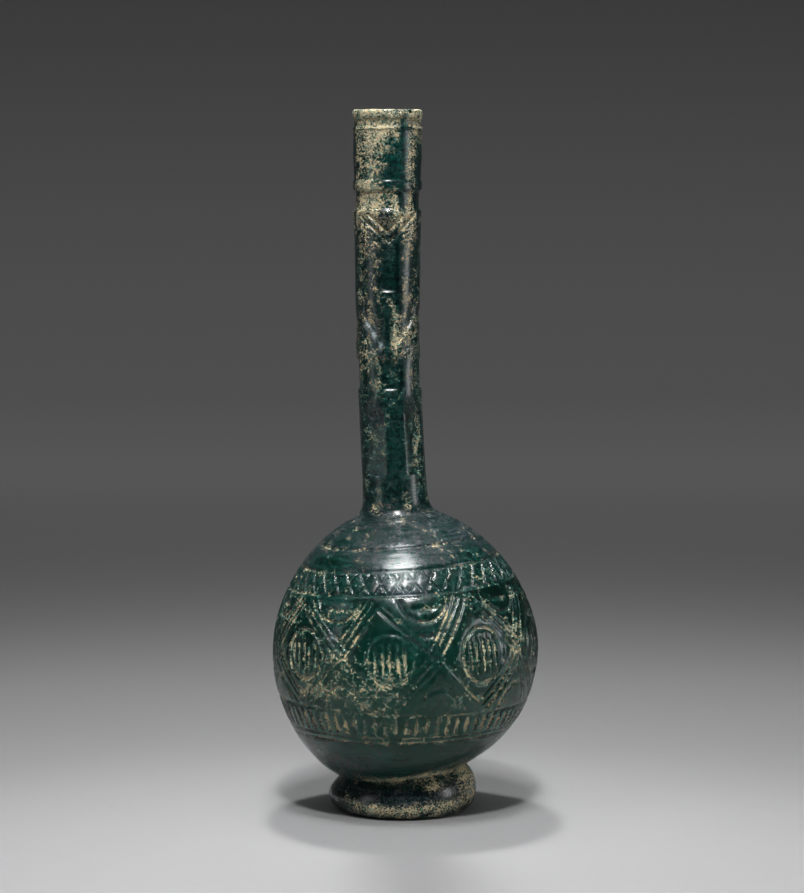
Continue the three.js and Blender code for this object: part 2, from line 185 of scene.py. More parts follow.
# Patches of weathering and of painted highlight, as (angle, level, half turn, half rise, crust, haze, deposit
# in the cuts); haze past about 0.7 turns to the pale painted highlight colour
PATCHES = (
    # lip, collar and recess
    (-20, 213, 34, 8, 0.2, 0, 0),
    (30, 213, 7, 6, -0.6, -0.05, 0),
    (5, 201, 20, 5, -0.6, -0.05, 0),
    (27, 203, 7, 9, -0.4, -0.05, 0),
    (45, 206, 8, 8, 0.1, 0.1, 0),
    (70, 198, 14, 12, -0.7, -0.1, 0),
    (27, 192.5, 8, 4, -0.7, -0.1, 0),
    (-40, 193, 30, 6, 0.3, 0, 0),
    (12, 191.5, 8, 3, 0.3, 0, 0),
    (-76, 203, 14, 14, -0.35, 0.05, 0),
    # chevrons and the plain neck below
    (-4, 187, 10, 2.5, -0.5, 0.05, -0.2),
    (22, 187.5, 12, 3.5, 0.3, 0, 0.2),
    (-26, 175, 16, 7, 0.12, 0.3, 0),
    (18, 172, 6, 14, -0.5, -0.1, -0.3),
    (37, 168, 11, 20, 0.14, 0.3, 0),
    (-1, 168, 10, 3, -0.35, -0.1, 0),
    (-60, 167, 9, 5, 0.45, 0, 0),
    (-72, 172, 12, 14, -0.3, 0, 0),
    # leaves
    (-30, 157, 18, 7, 0.02, 0.25, -0.2),
    # painted highlight along the left leaf's lower edge
    (-42, 153, 8, 1.2, -0.35, 1.2, 0),
    (-28, 150.2, 8, 1.2, -0.35, 1.2, 0),
    (-15, 147.6, 7, 1.1, -0.35, 1.2, 0),
    (15, 152, 8, 7, 0.42, 0, 0.1),
    (42, 148, 14, 6, 0.16, 0.05, 0),
    (-40, 147, 10, 2.5, 0.3, 0, 0),
    (-2, 151, 5, 7, -0.6, -0.1, 0),
    (8, 144.5, 14, 1.6, 0.3, 0, 0),
    # panels
    (20, 138, 8, 5, -0.4, -0.1, 0),
    (-17, 139.5, 5, 2.5, 0.3, 0, 0),
    (-42, 138, 7, 3, 0.25, 0, 0),
    (5, 130, 20, 2.5, 0.12, 0.05, 0),
    (40, 138, 8, 8, -0.1, 0.3, 0),
    # painted reflection of the floor on the panel's top ledge, painted highlight on its bottom ledge
    (-33, 125.8, 14, 0.9, -0.1, 1.0, 0),
    (-33, 106.4, 13, 0.5, 0, 0.9, 0),
    (-34, 118.5, 9, 4.5, 0.5, 0, 0),
    (-32, 110, 14, 4, -0.25, 0.04, 0),
    (52, 117, 9, 10, 0.56, 0, 0),
    (7, 116, 13, 12, -0.3, 0.02, 0),
    (0, 102, 40, 3.5, 0.14, 0.08, 0),
    (20, 97.5, 10, 2.5, 0.4, 0.1, 0),
    (-37, 97, 7, 1.5, 0.35, 0.1, 0),
    # shoulder and crossed band
    (-52, 86, 26, 2, 0.08, 0, 0.05),
    (35, 86, 14, 3, 0.12, 0, 0),
    (18, 92, 30, 4, 0, 0.1, 0),
    (-50, 82.5, 24, 2.5, -0.1, -0.25, 0),
    (50, 82.5, 18, 2.5, 0, -0.2, 0),
    # painted highlight of the lamps' gleam, with a rougher film under it
    (1, 79.5, 12, 6.5, -0.1, 1.3, 0),
    (-40, 90, 40, 3, 0.06, -0.15, 0),
    (-68, 72, 18, 9, 0.12, 0.05, 0.1),
    (0, 76.3, 80, 4, 0, 0, -0.18),
    (0, 77, 18, 8, -0.15, 0, -0.25),
    (46, 76, 12, 4, 0.15, 0, 0),
    # belt
    (-60, 56, 14, 14, 0.08, 0, 0.3),
    (-34, 68, 10, 4, 0.1, 0.08, 0.1),
    (-24, 62, 6, 9, 0.02, 0, 0.3),
    (-4, 63, 9, 7, -0.2, 0, -0.35),
    (-2, 66, 3.5, 1.6, 0.4, 0, 0),
    (-6, 50, 12, 7, 0.18, 0, 0.25),
    (-12, 42, 16, 5, 0.2, 0, 0.1),
    (11, 69.5, 7, 1.5, 0.2, 0, 0.2),
    (8, 63, 14, 7, 0, 0.08, 0),
    (18, 62, 7, 8, 0.02, 0, 0.4),
    (10, 46, 10, 8, -0.25, 0, -0.2),
    (28, 41, 6, 3, 0.1, 0, 0.4),
    (34, 54, 13, 13, 0, 0, 0.3),
    (56, 57, 7, 6, 0.3, 0, 0.1),
    # painted highlights on the right oval's rim and on a spot at the left
    (45.5, 56, 1.5, 5.5, -0.1, 1.1, -0.25),
    (39, 62.5, 5, 1.0, -0.1, 1.1, -0.2),
    (-33, 61, 2.4, 1.8, -0.1, 1.1, -0.2),
    (52, 42, 10, 5, 0.1, 0, 0.35),
    (-42, 43, 12, 5, 0.25, 0, 0.1),
    (-30, 52, 8, 5, 0.2, 0, 0.1),
    (180, 58, 90, 30, -0.15, 0, -0.1),
    # hatched band and belly
    (-36, 32, 16, 4, 0.16, 0, 0.1),
    (0, 32, 14, 4, 0.05, 0, 0.2),
    (24, 32, 14, 4, -0.05, 0, 0.6),
    (47, 32, 12, 4, 0, 0, 0.35),
    (0, 27.6, 60, 1.2, 0.1, 0, 0.3),
    (-34, 20, 20, 4, 0.04, 0.12, 0),
    # foot
    (27, 13.5, 20, 1.6, 0.45, 0, 0),
    (-14, 13, 20, 1.2, 0.4, 0, 0),
    (70, 9, 20, 6, 0.6, 0, 0),
    (-22, 3.4, 14, 2, 0.7, 0, 0),
    (4, 3, 12, 2.2, 0.62, 0, 0),
    (35, 4, 20, 2.4, 0.55, 0, 0),
    (28, 10, 18, 1.6, 0.5, 0, 0),
    (-45, 7, 10, 2.5, 0.35, 0, 0),
    (4, 7.6, 12, 1.6, -0.2, 0.1, 0),
)

# Crust and haze that a full cut holds, the most haze with the painted highlights in it, and the haze that
# comes in above the bore's foot
DEPOSIT = 0.3
GROUND = 0.06
HAZE_MOST = 2.0
BORE_HAZE = 0.5
BORE_FOOT = 88
BORE_FADE = 8

# Grain of the weathering, as noise scales per metre and the shares that break up the edge of the crust
FLAKES = 3000.0
GRAIN = 1500.0
STREAKS = 700.0
BLOTCHES = 330.0
CLOUDS = 60.0
GRAIN_SHARE = 0.75
FLAKE_SHARE = 0.8
BLOTCH_SHARE = 1.5
STREAK_SHARE = 0.35
CRUST_EDGE = (0.34, 0.52)
FILM_EDGE = (1.3, 1.75)
FILM_SHARE = (0.05, 1.7)
FILM_FLAKES = 0.35
# Haze over which the film turns to the pale painted highlight colour
PAINTED_HIGHLIGHT_EDGE = (0.7, 1.4)
TINT_EDGE = (0.0, 0.16)
WARM_EDGE = (0.42, 0.7)
CREAM_EDGE = (0.4, 0.85)
EARTH_EDGE = (0.5, 0.65)
EARTH_SHARE = (0.0, 0.3)

# Gloss and relief of the surface
GLASS_INDEX = 1.48
FILM_ROUGHNESS = 0.33
CRUST_ROUGHNESS = 0.85
INNER_ROUGHNESS = 0.45
FILM_VEIL = 0.8
RELIEF = 0.0001
RELIEF_STRENGTH = 0.5
CRUST_RELIEF = 0.6
GRAIN_RELIEF = 0.35

# Unrolled map: where each stretch of the profile starts, and how much of the map it takes
MAP_BODY = (0.0, 0.5)
MAP_NECK = (0.5, 0.36)
MAP_INSIDE = (0.88, 0.11)
MAP_SPAN = 1.05

# Lamps as (place, target), in metres
MIDDLE = (0, 0, 0.5 * HEIGHT * MM)
FRONT_LAMP = ((-0.03, -0.82, 1.32), (0, -0.085, 0))
TOP_BOX = ((-0.02, -0.42, 1.3), (0, -0.02, 0.05))
REAR_LAMP = ((-0.025, 0.2, 0.6), (0, -0.2, 0))
STRIP_BOX = ((0.62, -0.2, 0.165), MIDDLE)
FILL_BOX = ((-0.6, -0.35, 0.22), MIDDLE)

# Painted shade and light along the floor's depth, as (from, to, share of its colour): painted shade before
# the first; past the others, painted shade behind the bottle and painted light where the floor rises
FLOOR_FRONT_SHADE = (-0.32, -0.11, 0.1)
FLOOR_LIGHT_AND_SHADE = ((0.1, 0.4, 0.86), (0.5, 1.1, 1.4))
FLOOR_CLOUDS = 9.0
FLOOR_SHADE = 0.97
FLOOR_ROUGHNESS = 0.7


class BottleSizes(bpy.types.PropertyGroup):
    """Sizes of the bottle and its cuts that a maker would change."""

    body_radius: FloatProperty(
        name="Body radius", description="Widest radius of the globe", default=0.0419, unit="LENGTH")
    wall: FloatProperty(
        name="Wall", description="Thickness of the globe's wall", default=0.0032, unit="LENGTH")
    foot_radius: FloatProperty(
        name="Foot radius", description="Widest radius of the foot", default=0.0233, unit="LENGTH")
    line_half: FloatProperty(
        name="Line half width", description="Half the width of a cut line", default=0.0006, unit="LENGTH")
    line_depth: FloatProperty(
        name="Line depth", description="Depth of a cut line", default=0.00054, unit="LENGTH")
    wave: FloatProperty(
        name="Wave", description="Unevenness of the blown wall", default=0.00018, unit="LENGTH")
    lozenges: IntProperty(name="Lozenges", description="Lozenges round the belt", default=9, min=3)
    crosses: IntProperty(name="Crosses", description="Crosses round the shoulder", default=42, min=3)
    hatches: IntProperty(name="Hatches", description="Strokes round the lower band", default=74, min=3)
    step: FloatProperty(
        name="Step", description="Spacing of the dense skin before it is thinned", default=0.00028,
        unit="LENGTH")
    triangles: IntProperty(
        name="Triangles", description="Triangles left after thinning", default=186000, min=2000)


class BottleFinish(bpy.types.PropertyGroup):
    """Colours and finish of the glass, its weathering and its painted highlights."""

    clear: FloatVectorProperty(
        name="Glass", description="Tint that the glass keeps at its surface", subtype="COLOR",
        default=(0.22, 0.97, 0.87))
    absorbed: FloatVectorProperty(
        name="Depth colour", description="Colour that light turns to inside the glass", subtype="COLOR",
        default=(0.0, 0.83, 0.81))
    density: FloatProperty(
        name="Depth", description="Strength of the colour inside the glass, per metre", default=1700.0)
    cream: FloatVectorProperty(
        name="Crust", description="Pale weathering crust", subtype="COLOR", default=(0.72, 0.625, 0.40))
    thin: FloatVectorProperty(
        name="Thin crust", description="Crust where it thins out over the glass", subtype="COLOR",
        default=(0.19, 0.19, 0.115))
    earth: FloatVectorProperty(
        name="Earth", description="Warm soil caught in the cuts", subtype="COLOR",
        default=(0.42, 0.305, 0.155))
    film: FloatVectorProperty(
        name="Film", description="Dull film over the glass", subtype="COLOR", default=(0.085, 0.122, 0.138))
    # Pale colour of the painted highlights and the painted reflection, where the haze patches run high
    painted_highlight: FloatVectorProperty(
        name="Highlight", description="Pale bloom where the film is thickest", subtype="COLOR",
        default=(0.40, 0.465, 0.455))
    gloss: FloatProperty(
        name="Gloss", description="Roughness of the clean glass", default=0.25, subtype="FACTOR")


class StageSettings(bpy.types.PropertyGroup):
    """Camera, floor and lights."""

    camera_distance: FloatProperty(
        name="Camera distance", description="From the bottle's axis to the lens", default=0.95, unit="LENGTH")
    camera_height: FloatProperty(
        name="Camera height", description="Height of the lens", default=0.205, unit="LENGTH")
    camera_pitch: FloatProperty(
        name="Camera pitch", description="How far the camera looks down", default=math.radians(5.42),
        unit="ROTATION")
    lens: FloatProperty(name="Lens", description="Focal length in millimetres", default=122.55)
    floor: FloatVectorProperty(
        name="Floor", description="Pale floor", subtype="COLOR", default=(0.298, 0.298, 0.301))
    ambient: FloatVectorProperty(
        name="Ambient", description="Light from the room all round", subtype="COLOR",
        default=(0.02, 0.02, 0.0205))
    front: FloatProperty(
        name="Front", description="Power of the lamp high in front", default=54.0, unit="POWER")
    top: FloatProperty(
        name="Top", description="Power of the box above the front", default=0.85, unit="POWER")
    rear: FloatProperty(
        name="Rear", description="Power of the lamp high behind", default=11.5, unit="POWER")
    sky: FloatProperty(name="Overhead", description="Strength of the soft light overhead", default=0.70)
    strip: FloatProperty(
        name="Strip", description="Power of the strip on the right", default=0.8, unit="POWER")
    fill: FloatProperty(
        name="Fill", description="Power of the box on the left", default=0.45, unit="POWER")


def through(stops, level):
    """Smooth curve through (level, value) stops, flat beyond both ends."""
    at, value = np.array(stops, float).T
    slope = np.zeros_like(value)
    slope[1:-1] = (value[2:] - value[:-2]) / (at[2:] - at[:-2])
    x = np.clip(level, at[0], at[-1])
    i = np.clip(np.searchsorted(at, x, side="right") - 1, 0, len(at) - 2)
    span = at[i + 1] - at[i]
    t = (x - at[i]) / span
    ease = t * t * (3 - 2 * t)
    bend = t * (1 - t) * (slope[i] * (1 - t) - slope[i + 1] * t) * span
    return value[i] + (value[i + 1] - value[i]) * ease + bend


def globe_radius(level, radius, inset=0.0):
    """Radius of the blown globe, or of its hollow when it is set in by the wall."""
    upper = level > BODY_LEVEL
    rise = np.where(upper, BODY_RISE, BODY_DROP) - inset
    power = np.where(upper, SHOULDER_POWER, 2.0)
    share = np.clip(np.abs(level - BODY_LEVEL) / rise, 0, 1)
    return (radius - inset) * (1 - share**power) ** (1 / power)


def foot_radius(level, radius):
    """Radius of the foot, which swells to its widest level and draws in to the waist above."""
    below = level < FOOT_WIDEST
    edge = np.where(below, RING_OUTER, FOOT_WAIST)
    reach = np.where(below, FOOT_WIDEST, FOOT_TOP - FOOT_WIDEST)
    share = np.clip((level - FOOT_WIDEST) / reach, -1, 1)
    power = np.where(below, *FOOT_POWERS)
    return edge + (radius - edge) * (1 - share**2) ** power


def resample(levels, radii, step):
    """Points at even steps along a profile."""
    run = np.concatenate([[0], np.cumsum(np.hypot(np.diff(levels), np.diff(radii)))])
    at = np.linspace(0, run[-1], max(int(round(run[-1] / step)), 2) + 1)
    return np.interp(at, run, levels), np.interp(at, run, radii)


def rounded(stops, step):
    """Profile through (level, radius) stops with its corners a little rounded."""
    at, value = np.array(stops, float).T
    levels, radii = resample(at, value, step / 4)
    soften = np.hanning(9)
    soften /= soften.sum()
    ends = (4, 4)
    smooth = [np.convolve(np.pad(row, ends, mode="edge"), soften, "valid") for row in (levels, radii)]
    return resample(*smooth, step)


def ring_points(angle, level, radius):
    """Points of the leaning rings, for angles across and levels down."""
    turn = np.radians(angle)[None, :]
    side = radius[:, None] * np.sin(turn)
    rise = np.tan(np.radians(through(LEAN, level)))[:, None]
    x = through(SPINE, level)[:, None] + side
    y = -radius[:, None] * np.cos(turn)
    return np.stack([x, y, level[:, None] + side * rise], -1)


def turned(angle, centre):
    """Shortest turn in degrees from a centre."""
    return (angle - centre + 180) % 360 - 180


def folded(angle, count, first=0.0):
    """Turn from the nearest of evenly spaced motifs, and the number of that motif."""
    pitch = 360 / count
    number = np.round((angle - first) / pitch)
    return turned(angle, first + number * pitch), number % count


def wobble(number, seed):
    """Repeatable value from -1 to 1 for each numbered stroke of the hand."""
    return np.sin(number * 12.9898 + seed * 78.233) * 0.6 + np.sin(number * 39.425 + seed * 3.7) * 0.4


def groove(distance, half):
    """Depth of a round-bottomed wheel cut, as a share, at a distance from its line."""
    return np.clip(1 - (distance / half) ** 2, 0, 1)


def stroke(x, y, start, end, half):
    """Boat-shaped wheel cut between two points, as a share of its depth."""
    run_x, run_y = end[0] - start[0], end[1] - start[1]
    t = np.clip(((x - start[0]) * run_x + (y - start[1]) * run_y) / (run_x**2 + run_y**2), 0, 1)
    distance = np.hypot(x - start[0] - t * run_x, y - start[1] - t * run_y)
    belly = 1 - (2 * t - 1) ** 4
    return groove(distance, half * (0.35 + 0.65 * belly)) * (0.3 + 0.7 * belly)


def ellipse_line(x, y, half_x, half_y, half):
    """Cut along an ellipse round the origin."""
    out = np.hypot(x / half_x, y / half_y)
    return groove((out - 1) * 0.5 * (half_x + half_y), half)


class Skin:
    """Angles, levels and radii over a grid of the outer skin, and lengths measured on it."""

    def __init__(self, angle, level, radius):
        self.angle = np.broadcast_to(angle[None, :], (len(level), len(angle)))
        self.level = np.broadcast_to(level[:, None], self.angle.shape)
        self.per_degree = np.radians(1) * radius[:, None]
        flow = np.gradient(radius) / np.where(np.abs(np.gradient(level)) < 1e-6, 1e-6, np.gradient(level))
        self.stretch = np.clip(np.hypot(1, flow), 1, 3)[:, None]

    def across(self, turn):
        return turn * self.per_degree

    def up(self, level):
        return (self.level - level) * self.stretch


def lozenge_angle(count, total):
    even = 360 * count / total
    return LOZENGE_FIRST + even + LOZENGE_SPREAD * np.sin(np.radians(even))


def lozenge_count(angle, total):
    """Lozenge number at an angle, with its fraction."""
    even = angle - LOZENGE_FIRST
    for _ in range(6):
        even = angle - LOZENGE_FIRST - LOZENGE_SPREAD * np.sin(np.radians(even))
    return even * total / 360


def lozenge_lines(skin, number, total, half):
    """The doubled and tripled lines of one lozenge, its oval and the strokes in it."""
    centre = lozenge_angle(number, total)
    x = skin.across(turned(skin.angle, centre))
    y = skin.up(LOZENGE_MIDDLE)
    side = [skin.across(turned(lozenge_angle(number + way, total), centre)) for way in (-0.5, 0.5)]
    top = (skin.across(LOZENGE_TOP[0]), LOZENGE_TOP[1] - LOZENGE_MIDDLE)
    foot = (skin.across(LOZENGE_FOOT[0]), LOZENGE_FOOT[1] - LOZENGE_MIDDLE)
    depth = np.zeros(x.shape)
    corners = [(side[1], 0), top, (side[0], 0), foot]
    for k, start in enumerate(corners):
        end = corners[(k + 1) % 4]
        run_x, run_y = end[0] - start[0], end[1] - start[1]
        length = np.hypot(run_x, run_y)
        t = ((x - start[0]) * run_x + (y - start[1]) * run_y) / length**2
        inward = ((y - start[1]) * run_x - (x - start[0]) * run_y) / length
        for order, (offset, strength) in enumerate(LOZENGE_LINES[k]):
            hand = wobble(number, 3 * k + order)
            reach = np.clip(np.minimum(t + 0.02, 1 - t) / 0.07, 0, 1)
            bow = 0.35 * hand * np.sin(np.pi * np.clip(t, 0, 1))
            line = groove(inward - offset - bow, half) * reach * np.clip(strength + 0.25 * hand, 0, 1)
            for (place, worn_side), kept in LOZENGE_WORN.items():
                if worn_side == k:
                    line = line * np.where(np.mod(number, total) == place, kept[order], 1.0)
            depth = np.maximum(depth, line)
    oval_x, oval_y = OVAL_HALF
    inside = np.hypot(x / (oval_x + 1), y / (oval_y + 1)) < 1
    depth = np.where(inside, 0, depth)
    fresh = np.array(OVAL_WEAR)[np.mod(number, len(OVAL_WEAR)).astype(int)]
    depth = np.maximum(depth, 1.35 * fresh * ellipse_line(x, y, oval_x, oval_y, 1.5 * half))
    for k, place in enumerate(OVAL_STROKES):
        hand = wobble(number, 20 + k)
        reach = 0.68 * oval_y * math.sqrt(1 - (place / oval_x) ** 2)
        start = (place + 0.35 * hand - 0.3, reach)
        end = (place + 0.35 * hand + 0.3, -reach)
        depth = np.maximum(depth, 1.25 * stroke(x, y, start, end, 1.05 * half))
    return depth


def triangle_lines(skin, number, total, half):
    """What fills the triangles after a lozenge: nested half ovals above, a cut between and an arch below."""
    corner = lozenge_angle(number + 0.5, total)
    turn = turned(skin.angle, corner + HALF_OVAL_SHIFT)
    x = skin.across(turn)
    y = skin.up(HALF_OVAL_RIM)
    bowl = ellipse_line(x, y, *HALF_OVAL_HALF, 1.15 * half) * (y < 0.4)
    depth = 1.2 * bowl
    eye_y = skin.up(EYE_LEVEL)
    depth = np.maximum(depth, 0.9 * stroke(x, eye_y, (-EYE_REACH, 0.2), (EYE_REACH, -0.2), 1.9 * half))
    dash_y = skin.up(DASH_LEVEL)
    depth = np.maximum(depth, stroke(x, dash_y, (-DASH_REACH, 0.1), (DASH_REACH, -0.1), 1.5 * half))
    knot_x = skin.across(turned(skin.angle, corner))
    knot_y = skin.up(LOZENGE_MIDDLE)
    depth = np.maximum(depth, 0.8 * stroke(knot_x, knot_y, (-KNOT_REACH, -0.5), (KNOT_REACH, -0.2), half))
    arch_y = skin.up(ARCH_LEVEL)
    arch = ellipse_line(knot_x, arch_y, *ARCH_HALF, half) * (arch_y > 0.3)
    return np.maximum(depth, 0.7 * arch)


def belt_cuts(skin, total, half):
    number = np.round(lozenge_count(skin.angle, total))
    depth = np.zeros(skin.angle.shape)
    for way in (-1, 0, 1):
        depth = np.maximum(depth, lozenge_lines(skin, (number + way) % total, total, half))
    inside = np.floor(lozenge_count(skin.angle, total))
    for way in (-1, 0, 1):
        depth = np.maximum(depth, triangle_lines(skin, (inside + way) % total, total, half))
    low, high = BELT
    above = np.clip((skin.level - low + 0.6) / 0.4, 0, 1)
    below = np.clip((high + 0.8 - skin.level) / 0.4, 0, 1)
    return depth * above * below


def cross_cuts(skin, count, half):
    """Crossed strokes between the second and third ring."""
    turn, number = folded(skin.angle, count, CROSS_FIRST)
    low, high = CROSS_BAND
    y = skin.up(0.5 * (low + high))
    reach = 0.5 * (high - low) * 1.12 * skin.stretch
    side = CROSS_HALF_TURN * skin.per_degree
    lean = 0.5 * wobble(number, 1)
    x = skin.across(turn)
    rise = stroke(x, y, (-side + lean, -reach), (side, reach), 0.85 * half)
    fall = stroke(x, y, (-side, reach), (side - lean, -reach), 0.85 * half)
    return 1.2 * np.maximum(rise, (0.85 + 0.15 * wobble(number, 2)) * fall)


def hatch_cuts(skin, count, half):
    """Upright strokes of the lower band."""
    turn, number = folded(skin.angle, count, HATCH_FIRST)
    low, high = HATCH_BAND
    x = skin.across(turn) - 0.25 * wobble(number, 4)
    y = skin.up(0.5 * (low + high))
    reach = 0.5 * (high - low) * (1.05 + 0.06 * wobble(number, 6)) * skin.stretch
    tilt = 0.25 * wobble(number, 5)
    return 1.2 * stroke(x, y, (tilt, reach), (-tilt, -reach), 1.3 * half)


def flat_cut(skin, centre, levels, depth_low, depth_high):
    """Depth of a flat cut across the round neck, with a ledge at both levels."""
    low, high = levels
    radius = skin.per_degree / np.radians(1)
    share = np.clip((skin.level - low) / (high - low), 0, 1)
    sunk = depth_low + (depth_high - depth_low) * share
    turn = np.radians(np.clip(turned(skin.angle, centre), -60, 60))
    depth = np.clip(radius - (radius - sunk) / np.cos(turn), 0, None)
    shelf = np.sin(np.pi / 2 * np.clip((skin.level - low) / LEDGE, 0, 1))
    return depth * shelf * np.clip((high - skin.level) / 0.35, 0, 1)


def polyline(skin, turn, places, half):
    """Cut along straight runs between (angle, level) places, from the given turns."""
    x = skin.across(turn)
    y = skin.level
    depth = np.zeros(x.shape)
    for start, end in zip(places, places[1:]):
        start_x, end_x = skin.across(start[0]), skin.across(end[0])
        run_x, run_y = end_x - start_x, end[1] - start[1]
        t = np.clip(((x - start_x) * run_x + (y - start[1]) * run_y) / (run_x**2 + run_y**2), 0, 1)
        distance = np.hypot(x - start_x - t * run_x, y - start[1] - t * run_y)
        depth = np.maximum(depth, groove(distance, half))
    return depth


def leaf_cuts(skin):
    """Slanting cuts either side of a rib, each deepest at a curved lower edge."""
    turn, _ = folded(skin.angle, NECK_MOTIFS, LEAF_FIRST)
    depth = np.zeros(turn.shape)
    for outside, inside, width, deep in LEAF_CURVES:
        spread = np.abs(turn)
        share = np.clip((spread - inside[0]) / (outside[0] - inside[0]), 0, 1)
        t = np.arccos(share) / (np.pi / 2)
        edge = outside[1] - (outside[1] - inside[1]) * t**LEAF_BEND
        above = skin.level - edge
        bevel = np.sin(np.pi / 2 * np.clip(above / 1.2 + 1, 0, 1))
        slope = np.clip(1 - above / (width + 4 * (1 - share)), 0, 1) * bevel
        sides = np.clip((spread - inside[0]) / 1.5, 0, 1) * np.clip((outside[0] + 4 - spread) / 6, 0, 1)
        depth = np.maximum(depth, deep * slope * sides)
    return depth


def neck_cuts(skin, half, deep):
    """Depth of all the neck's cuts, and the share of full depth of its lines."""
    depth = np.zeros(skin.angle.shape)
    turn, _ = folded(skin.angle, NECK_MOTIFS)
    for places in CHEVRON_LINES:
        depth = np.maximum(depth, 1.25 * deep * polyline(skin, turn, places, 1.15 * half))
    lines = depth / deep
    for centre in NOTCHES:
        depth = np.maximum(depth, flat_cut(skin, centre, NOTCH_LEVELS, NOTCH_DEPTH, 0))
    depth = np.maximum(depth, leaf_cuts(skin))
    for centres, levels, sunk in PANELS:
        for centre in centres:
            depth = np.maximum(depth, flat_cut(skin, centre, levels, sunk, sunk))
    return depth, lines


def body_cuts(skin, sizes):
    """Depth of all the body's cuts, and the share of full depth, as all of them are lines."""
    half, deep = sizes.line_half / MM, sizes.line_depth / MM
    depth = deep * belt_cuts(skin, sizes.lozenges, half)
    depth = np.maximum(depth, deep * cross_cuts(skin, sizes.crosses, half))
    depth = np.maximum(depth, deep * hatch_cuts(skin, sizes.hatches, half))
    for level, ring_half, ring_depth in RINGS:
        waver = 0.15 * np.sin(np.radians(3 * skin.angle + 40 * level))
        depth = np.maximum(depth, ring_depth * groove(skin.up(level) + waver, ring_half))
    return depth, depth / deep


def blown_wave(skin):
    """Gentle unevenness of blown glass, from -1 to 1."""
    a, w = np.radians(skin.angle), skin.level
    waves = np.sin(2 * a + 0.05 * w + 0.6) * np.sin(0.11 * w)
    waves = waves + 0.6 * np.sin(3 * a - 0.09 * w + 2.1) + 0.5 * np.sin(5 * a + 0.17 * w)
    return waves / 2.1


def kept_soil(skin):
    """Share of the soil that wear has left along the cuts."""
    turn = np.radians(skin.angle)
    return 0.9 + 0.45 * np.sin(11 * turn + 0.35 * skin.level) * np.sin(7 * turn - 0.5 * skin.level)


def weathering(skin, cut):
    """Crust, haze with the painted highlights, and tone over the skin, from the bands, the patches and what
    lies in the cuts.
    """
    levels, crust, haze_and_highlight = np.array(BANDS, float).T
    crust = np.interp(skin.level, levels, crust)
    haze_and_highlight = np.interp(skin.level, levels, haze_and_highlight)
    deposit = np.full(skin.level.shape, DEPOSIT)
    for centre, level, turn, rise, crust_by, haze_and_highlight_by, deposit_by in PATCHES:
        away = (turned(skin.angle, centre) / turn) ** 2 + ((skin.level - level) / rise) ** 2
        near = np.exp(-0.9 * away**1.5)
        crust = crust + crust_by * near
        haze_and_highlight = haze_and_highlight + haze_and_highlight_by * near
        deposit = deposit + deposit_by * near
    caught = np.clip(deposit * kept_soil(skin), 0, 1) * cut
    return crust + caught, np.clip(haze_and_highlight + GROUND * cut, 0, HAZE_MOST), np.clip(1.3 * caught, 0, 1)


def skin_rows(sizes):
    """Profiles of the bottle: under the foot, up the globe, up the neck and back down inside."""
    step = sizes.step / MM
    body = sizes.body_radius / MM
    wall = sizes.wall / MM
    bend = np.linspace(0, np.pi / 2, 24)
    kick = (KICK * np.cos(bend), RING_INNER * np.sin(bend))
    ring = (np.zeros(6), np.linspace(RING_INNER, RING_OUTER, 7)[1:])
    ease = (1 - np.cos(np.linspace(0, np.pi, 6001))) / 2
    foot = FOOT_TOP * ease
    globe = FOOT_TOP + (NECK_ROOT - FOOT_TOP) * ease[1:]
    outer = resample(
        np.concatenate([foot, globe]),
        np.concatenate([foot_radius(foot, sizes.foot_radius / MM), globe_radius(globe, body)]), step)
    neck = rounded(NECK, NECK_ROWS * step)
    ceiling = BODY_LEVEL + BODY_RISE - wall - 1.0
    floor = BODY_LEVEL - BODY_DROP + wall
    hollow = ceiling + (floor - ceiling) * ease
    inner = resample(
        np.concatenate([np.array(BORE, float)[:, 0], hollow]),
        np.concatenate([np.array(BORE, float)[:, 1], globe_radius(hollow, body, wall)]), INNER_ROWS * step)
    return kick, ring, outer, neck, inner


def grid_triangles(rows, columns, first):
    """Triangles of a grid that closes round, its rows running up with the skin's outside on their right."""
    here = first + np.arange(rows * columns).reshape(rows, columns)
    low, high = here[:-1], here[1:]
    low_next, high_next = np.roll(low, -1, 1), np.roll(high, -1, 1)
    return np.concatenate([
        np.stack([low, low_next, high_next], -1).reshape(-1, 3),
        np.stack([low, high_next, high], -1).reshape(-1, 3),
    ])


def fan_triangles(ring, tip, closing_top):
    following = np.roll(ring, -1)
    tips = np.full(len(ring), tip)
    order = [ring, following, tips] if closing_top else [following, ring, tips]
    return np.stack(order, -1)


def zip_triangles(wide, narrow):
    """Triangles between a ring of points and one above it with a third as many."""
    a, b, c = wide[0::3], wide[1::3], wide[2::3]
    after = np.roll(a, -1)
    over, over_next = narrow, np.roll(narrow, -1)
    return np.concatenate([
        np.stack(t, -1) for t in ((a, b, over), (b, c, over), (c, over_next, over), (c, after, over_next))
    ])


def outward(points):
    """Unit vectors out of the glass on a grid of points that closes round."""
    round_way = np.roll(points, -1, 1) - np.roll(points, 1, 1)
    normal = np.cross(round_way, np.gradient(points, axis=0))
    return normal / np.maximum(np.linalg.norm(normal, axis=-1, keepdims=True), 1e-12)


def sunk_grid(angle, levels, radii, cutter, wave):
    """Grid of points with the cuts sunk in, and the share of full depth and weathering over it."""
    points = ring_points(angle, levels, radii)
    skin = Skin(angle, levels, radii)
    depth, lines = cutter(skin)
    sunk = depth + wave * blown_wave(skin) * np.clip(skin.level / 8, 0, 1)
    return points - outward(points) * sunk[..., None], weathering(skin, np.clip(lines, 0, 1))


